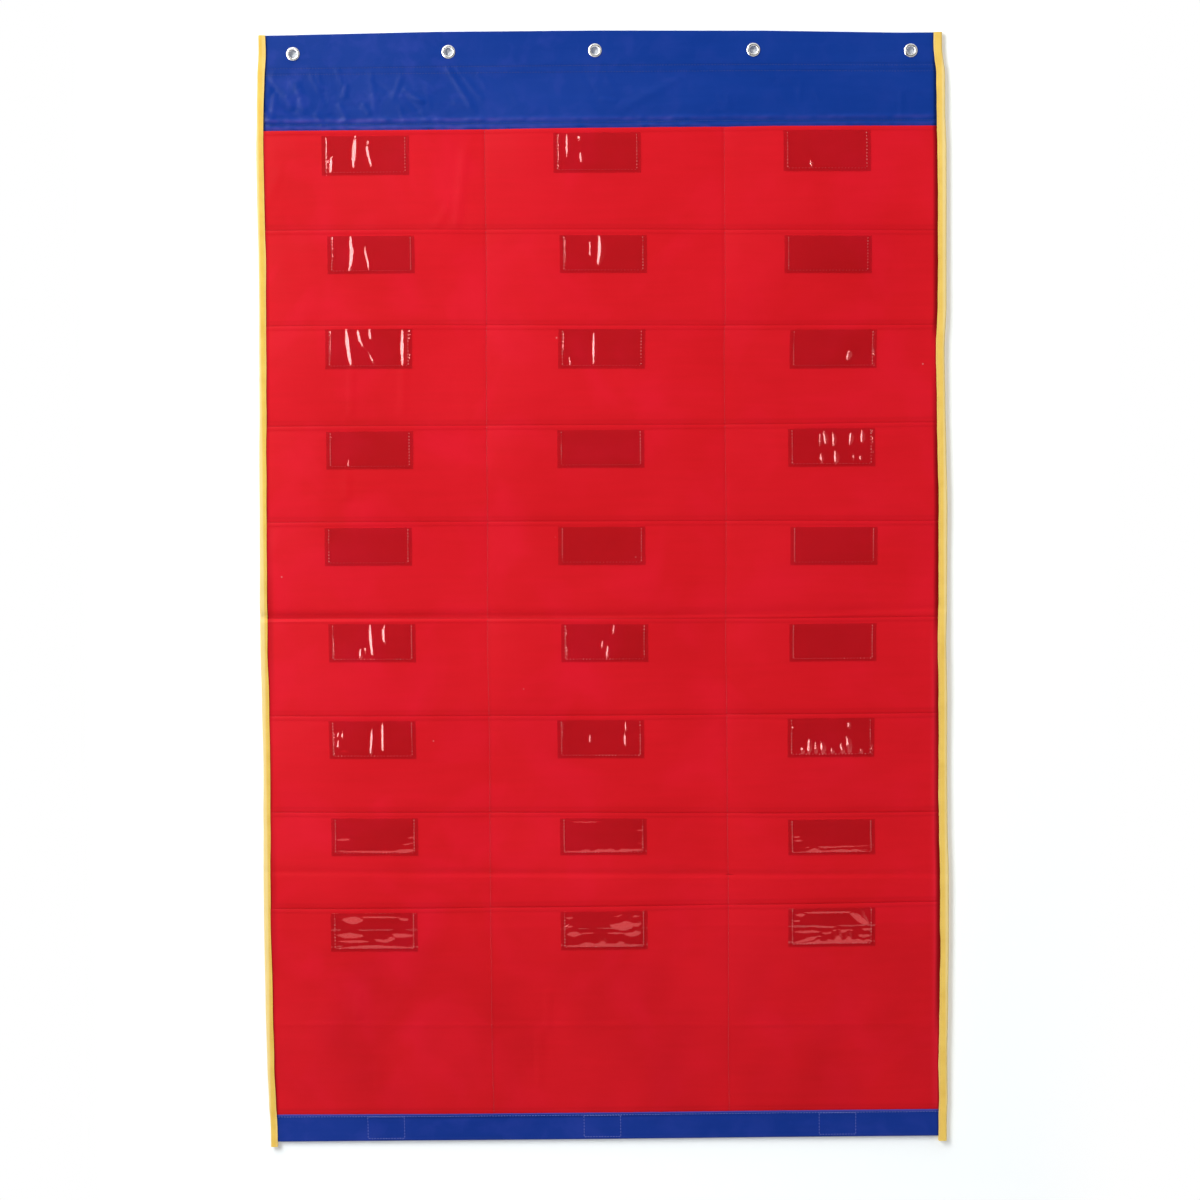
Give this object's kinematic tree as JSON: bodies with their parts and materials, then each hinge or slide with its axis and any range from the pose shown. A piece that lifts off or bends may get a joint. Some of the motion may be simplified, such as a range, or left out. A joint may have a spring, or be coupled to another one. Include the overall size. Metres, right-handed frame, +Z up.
{
  "type": "pocket chart",
  "caption": "Tall hanging wall chart of coated nylon: overlapping rows of open-topped paper pockets with clear card windows, bound side edges and a grommeted header.",
  "frame": {"origin": "middle of the grommet row at the height of the hole centres, in the plane of the wall behind the chart", "axes": "+Z up along the chart's height, +X to the right as seen from the front, +Y into the wall; the pockets face -Y"},
  "size_m": [0.711, 0.0147, 1.1593],
  "materials": {
    "red_nylon": "coated woven nylon, slight sheen",
    "blue_nylon": "coated woven nylon, slight sheen",
    "navy_nylon": "coated woven nylon, slight sheen",
    "yellow_binding": "woven binding tape, matte",
    "clear_vinyl": "clear glossy film",
    "nickel": "bright nickel plate",
    "hook_and_loop": "matte pile"
  },
  "bodies": {
    "root": {"backing_panel": "red_nylon", "header_band": "blue_nylon", "bottom_band": "navy_nylon", "side_binding_left": "yellow_binding", "side_binding_right": "yellow_binding", "pocket_strip_1": "red_nylon", "pocket_strip_2": "red_nylon", "pocket_strip_3": "red_nylon", "pocket_strip_4": "red_nylon", "pocket_strip_5": "red_nylon", "pocket_strip_6": "red_nylon", "pocket_strip_7": "red_nylon", "pocket_strip_8": "red_nylon", "pocket_strip_9": "red_nylon", "card_window_1_left": "clear_vinyl", "card_window_1_middle": "clear_vinyl", "card_window_1_right": "clear_vinyl", "card_window_2_left": "clear_vinyl", "card_window_2_middle": "clear_vinyl", "card_window_2_right": "clear_vinyl", "card_window_3_left": "clear_vinyl", "card_window_3_middle": "clear_vinyl", "card_window_3_right": "clear_vinyl", "card_window_4_left": "clear_vinyl", "card_window_4_middle": "clear_vinyl", "card_window_4_right": "clear_vinyl", "card_window_5_left": "clear_vinyl", "card_window_5_middle": "clear_vinyl", "card_window_5_right": "clear_vinyl", "card_window_6_left": "clear_vinyl", "card_window_6_middle": "clear_vinyl", "card_window_6_right": "clear_vinyl", "card_window_7_left": "clear_vinyl", "card_window_7_middle": "clear_vinyl", "card_window_7_right": "clear_vinyl", "card_window_8_left": "clear_vinyl", "card_window_8_middle": "clear_vinyl", "card_window_8_right": "clear_vinyl", "card_window_9_left": "clear_vinyl", "card_window_9_middle": "clear_vinyl", "card_window_9_right": "clear_vinyl", "grommet_eyelet_1": "nickel", "grommet_eyelet_2": "nickel", "grommet_eyelet_3": "nickel", "grommet_eyelet_4": "nickel", "grommet_eyelet_5": "nickel", "grommet_washer_1": "nickel", "grommet_washer_2": "nickel", "grommet_washer_3": "nickel", "grommet_washer_4": "nickel", "grommet_washer_5": "nickel", "hook_loop_patch_1": "hook_and_loop", "hook_loop_patch_2": "hook_and_loop", "hook_loop_patch_3": "hook_and_loop"}
  },
  "joints": []
}
